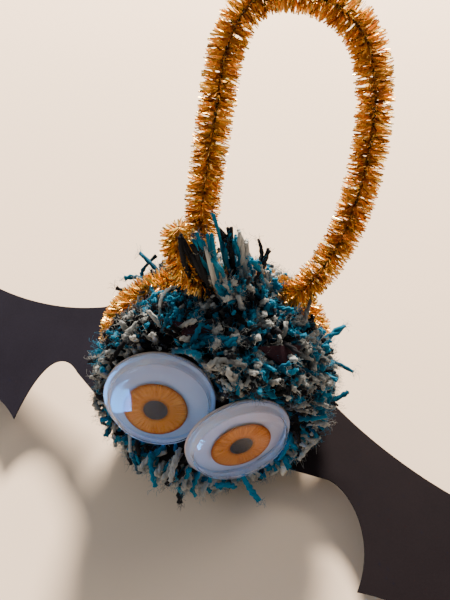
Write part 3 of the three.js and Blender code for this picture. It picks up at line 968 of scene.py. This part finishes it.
def shell(name, outer, inner, material, around=160):
    """A cap that is open below: the outer and inner skins meet at the rim."""
    profile = [(0, 4.32), *reversed(outer), *reversed(inner), (0, 3.92)]
    verts, faces = lathe(profile, around)
    return solid_object(name, verts, faces, material)


def disc_profile():
    edge = arc((IRIS_RADIUS - 0.12, 0.45), 0.12, -60, 60, 5)
    return [(0, 0.3), (6.5, 0.3), *edge, (6.6, 0.62), (0, 0.62)]


DOMES = bpy.data.collections.new("eye_domes")


def add_eye(side, eye):
    # The white colour is painted shade: darker than the white plastic.
    white = plastic_material(f"eye_{side}_white_painted_shade_finish", eye["white"])
    plate = solid_object(f"eye_{side}_plate", *lathe(back_plate_profile(), 96), white)
    finish_piece(place_on_eye(plate, eye), "body", "eye_white", f"eye_{side}_back")
    dome = shell(f"eye_{side}_clear_dome", *dome_profile(), CLEAR)
    finish_piece(place_on_eye(dome, eye), "body", "eye_clear", f"eye_{side}_dome")
    DOMES.objects.link(dome)
    disc = solid_object(f"eye_{side}_printed_disc", *lathe(disc_profile(), 96), IRIS)
    place_on_eye(disc, eye, eye["iris"])
    finish_piece(disc, f"iris_{side}", "iris_print", f"eye_{side}_iris")


for side_name, eye in EYES.items():
    add_eye(side_name, eye)


# ---------------------------------------------------------------- card wings and ears
CARD_THICKNESS = 0.35
WING_TIP_CUT = 0.1  # the point of a wing is this much blunt
CARD_TUCK = 2.4  # how far the card runs in under the yarn, past its root


def bezier(points, steps):
    points = np.asarray(points, float)
    t = np.linspace(0, 1, steps)[:, None]
    points = np.repeat(points[None], steps, axis=0)
    while points.shape[1] > 1:
        points = points[:, :-1] * (1 - t[..., None]) + points[:, 1:] * t[..., None]
    return points[:, 0]


WINGS = {
    "left": {
        "root": ((-30.4, 24.2, -4.4), (-27.5, -4.8, -7.9)),
        "on_panel": (-53, -3.1, -16.9),
        "lower": (((0, -14.7), (8, -3.5)), ((8, -3.5), (12.5, 5), (19.5, 3.5), (26.9, -11.8)),
                  ((26.9, -11.8), (33, -1), (42, 1), (50, 6))),
        "upper": (((0, 14.6), (20, 19), (40, 36)), ((40, 36), (49, 22), (50, 6))),
        "curl": 0.9,
    },
    "right": {
        "root": ((31.2, 1.2, -16.95), (18.2, -17.4, -16.95)),
        "on_panel": (57, -24.3, -19.1),
        "lower": (((0, -11.3), (8.8, -8.2)), ((8.8, -8.2), (13, -6.5), (25.5, -12.5), (27.2, -27)),
                  ((27.2, -27), (34, -23.5), (44, -23), (52, -17))),
        "upper": (((0, 11.3), (20, 5), (41, 6.5)), ((41, 6.5), (49, -4), (52, -17))),
        "curl": 0.7,
    },
}


def card_sheet(name, grid, normal, material, thickness=CARD_THICKNESS):
    """A closed thin sheet over a grid of points, (rows, columns, 3)."""
    rows, columns, _ = grid.shape
    half = np.asarray(normal) * thickness / 2
    verts = np.concatenate([(grid + half).reshape(-1, 3), (grid - half).reshape(-1, 3)])
    count = rows * columns
    index = np.arange(count).reshape(rows, columns)
    corners = (index[:-1, :-1], index[:-1, 1:], index[1:, 1:], index[1:, :-1])
    a, b, c, d = (corner.ravel() for corner in corners)
    faces = [np.column_stack([a, b, c, d]), np.column_stack([d, c, b, a]) + count]
    rim = np.concatenate([index[0, :-1], index[:-1, -1], index[-1, :0:-1], index[:0:-1, 0]])
    after = np.roll(rim, -1)
    faces.append(np.column_stack([rim, rim + count, after + count, after]))
    return make_object(name, verts, np.vstack(faces), [material], smooth=False)


def wing(name, spec, material):
    """A card panel, with its root's middle in metres and the way that it runs out."""
    back, front = (np.array(p, float) for p in spec["root"])
    middle = (back + front) / 2
    along = unit(back - front)
    out = np.array(spec["on_panel"]) - middle
    out = unit(out - along * (out @ along))
    normal = np.cross(out, along)
    lower = np.vstack([bezier(part, 24) for part in spec["lower"]])
    upper = np.vstack([bezier(part, 24) for part in spec["upper"]])
    tip = lower[-1, 0] - WING_TIP_CUT
    columns = np.unique(np.r_[np.linspace(0, tip, 90), lower[lower[:, 0] < tip, 0]])
    low, high = (np.interp(columns, edge[:, 0], edge[:, 1]) for edge in (lower, upper))
    tuck = np.array([-CARD_TUCK, -CARD_TUCK / 2])
    columns = np.r_[tuck, columns]
    low, high = np.r_[[low[0]] * 2, low], np.r_[[high[0]] * 2, high]
    share = np.linspace(0.002, 0.998, 22)
    across = low[:, None] * (1 - share) + high[:, None] * share
    reach = columns[:, None] * np.ones_like(across)
    ripple = 0.25 * np.sin(across / 9 + reach / 17) * np.clip(reach / 20, 0, 1)
    lift = spec["curl"] * ((np.maximum(reach, 0) / 45) ** 2 + ripple)
    grid = middle + reach[..., None] * out + across[..., None] * along + lift[..., None] * normal
    obj = card_sheet(name, grid, normal, material)
    return obj, (middle + BALL_CENTRE) * MM, out


for side_name, spec in WINGS.items():
    panel, root, out = wing(f"card_wing_{side_name}", spec, CARD[f"wing_{side_name}"])
    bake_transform(panel)
    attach(panel, "body")
    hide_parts(f"wing_{side_name}")


def ear(name, spec):
    outward = unit(spec["middle"])
    across = np.array(spec["across"], float)
    across = unit(across - outward * (across @ outward))
    back = np.cross(outward, across)
    middle = outward * (BALL_RADIUS + 0.9)
    rows = np.linspace(0.5, -0.5, 9)
    half = (rows + 0.5) * spec["width"] / 2 + 0.06
    share = np.linspace(-1, 1, 9)
    grid = (
        middle
        + (half[:, None] * share)[..., None] * across
        + (rows * spec["height"])[:, None, None] * back
        + (-0.5 * (0.5 - rows)[:, None] ** 2 - 0.9 * share**2)[..., None] * outward
    )
    return card_sheet(name, grid, outward, CARD["ears"])


for side_name, spec in EARS.items():
    finish_piece(ear(f"card_ear_{side_name}", spec), "body", "card", f"ear_{side_name}")


# ---------------------------------------------------------------- CAD nodes that stay
def repaint(node, material):
    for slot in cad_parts[node].material_slots:
        slot.material = material


for node in ("eye_left_glue", "eye_right_glue", "wing_left_glue", "wing_right_glue"):
    repaint(node, GLUE)
for node in ("centre_tie", "centre_tie_knot"):
    repaint(node, YARN["black"])


# ---------------------------------------------------------------- stage, light and camera
STUDIO_LIGHTS = {
    "key": {"place": (0.11, 0.83, 0.60), "size": 0.24, "power": 47.0, "colour": (1.0, 0.875, 0.74)},
    "second": {"place": (0.50, 0.35, 0.75), "size": 0.3, "power": 1.8, "colour": (1.0, 0.86, 0.72)},
    "window": {"place": (-0.9, -0.1, 0.75), "size": 0.5, "power": 2.2, "colour": (0.88, 0.93, 1.0)},
}


def add_floor():
    bpy.ops.mesh.primitive_plane_add(size=4)
    floor = bpy.context.object
    floor.name = "floor"
    tree = Tree("floor_finish")
    cloud = tree.noise(3, 2)
    tree.set(
        Base_Color=tree.ramp(cloud, (0.3, (0.88, 0.70, 0.53)), (0.7, (0.91, 0.735, 0.57))),
        Roughness=0.9,
        Specular_IOR_Level=0.0,
    )
    floor.data.materials.append(tree.material)


def add_light(name, place, target, size, power, colour):
    data = bpy.data.lights.new(name, "AREA")
    data.shape = "DISK"
    data.size = size
    data.energy = power
    data.color = colour
    light = bpy.data.objects.new(name, data)
    light.location = place
    light.rotation_euler = (Vector(target) - Vector(place)).to_track_quat("-Z", "Y").to_euler()
    light.visible_camera = False
    bpy.context.scene.collection.objects.link(light)
    return light


# The cool window low in front on the left, from the ball's centre, mm
WINDOW_PLACE = np.array([-65, -70, -5])
PANE_WIDTH = 50
PANE_HEIGHTS = (25, 8)  # from the bottom up
GLAZING_BAR = 4
PANE_POWER = 0.42  # watts in a thousand square millimetres
PANE_COLOUR = (0.04, 0.34, 1.0)


def add_window_panes():
    """They face the left eye, and show only as a reflection in the eyes' domes."""
    aim = np.array(EYES["left"]["centre"])
    towards = unit(aim - WINDOW_PLACE)
    up = np.cross(unit(np.cross(towards, (0, 0, 1))), towards)
    bottom = -(sum(PANE_HEIGHTS) + GLAZING_BAR) / 2
    for index, height in enumerate(PANE_HEIGHTS):
        shift = up * (bottom + height / 2)
        place, target = ((point + shift + BALL_CENTRE) * MM for point in (WINDOW_PLACE, aim))
        power = PANE_POWER * PANE_WIDTH * height / 1000
        pane = add_light(f"pane_{index}", place, target, PANE_WIDTH * MM, power, PANE_COLOUR)
        pane.data.shape = "RECTANGLE"
        pane.data.size_y = height * MM
        reflection_only(pane)
        bottom += height + GLAZING_BAR


def reflection_only(light):
    """Lets the light show only as a reflection in the eyes' domes."""
    light.visible_diffuse = False
    light.visible_transmission = False
    light.light_linking.receiver_collection = DOMES


# A row of small lamps above and behind the bat, evenly spaced in turn about the upright
LAMP_COUNT = 6
LAMP_DISTANCE = 90
LAMP_RISE = math.radians(50)
LAMP_FIRST_TURN = math.radians(-25)  # from straight behind, to the right
LAMP_STEP = math.radians(25)
LAMP_SIZE = 0.008
LAMP_POWER = 0.12
LAMP_COLOUR = (1.0, 0.97, 0.92)


def add_lamps():
    """They make the catchlights near the top of each eye, and light nothing else."""
    for index in range(LAMP_COUNT):
        turn = LAMP_FIRST_TURN + index * LAMP_STEP
        level = LAMP_DISTANCE * math.cos(LAMP_RISE)
        rise = LAMP_DISTANCE * math.sin(LAMP_RISE)
        offset = np.array([level * math.sin(turn), level * math.cos(turn), rise])
        place, target = (BALL_CENTRE + offset) * MM, BALL_CENTRE * MM
        reflection_only(add_light(f"lamp_{index}", place, target, LAMP_SIZE, LAMP_POWER, LAMP_COLOUR))


def add_world():
    world = bpy.data.worlds.new("studio")
    world.use_nodes = True
    background = world.node_tree.nodes["Background"]
    background.inputs["Color"].default_value = (0.97, 0.95, 0.95, 1)
    background.inputs["Strength"].default_value = 0.29
    bpy.context.scene.world = world


CAMERA_PLACE = np.array([2.4, -87.5, 131.6])  # from the ball's centre, mm
CAMERA_TILT = math.radians(40)
SENSOR = 36
LENS = 38.58


def add_camera():
    """Looks down 50 degrees at the bat's face."""
    data = bpy.data.cameras.new("camera")
    camera = bpy.data.objects.new("camera", data)
    data.sensor_width = SENSOR
    data.lens = LENS
    data.clip_start = 0.005
    camera.location = (BALL_CENTRE + CAMERA_PLACE) * MM
    camera.rotation_euler = (CAMERA_TILT, 0, 0)
    bpy.context.scene.collection.objects.link(camera)
    bpy.context.scene.camera = camera


add_floor()
add_world()
for light_name, spec in STUDIO_LIGHTS.items():
    add_light(light_name, target=BALL_CENTRE * MM, **spec)
add_window_panes()
add_lamps()
add_camera()
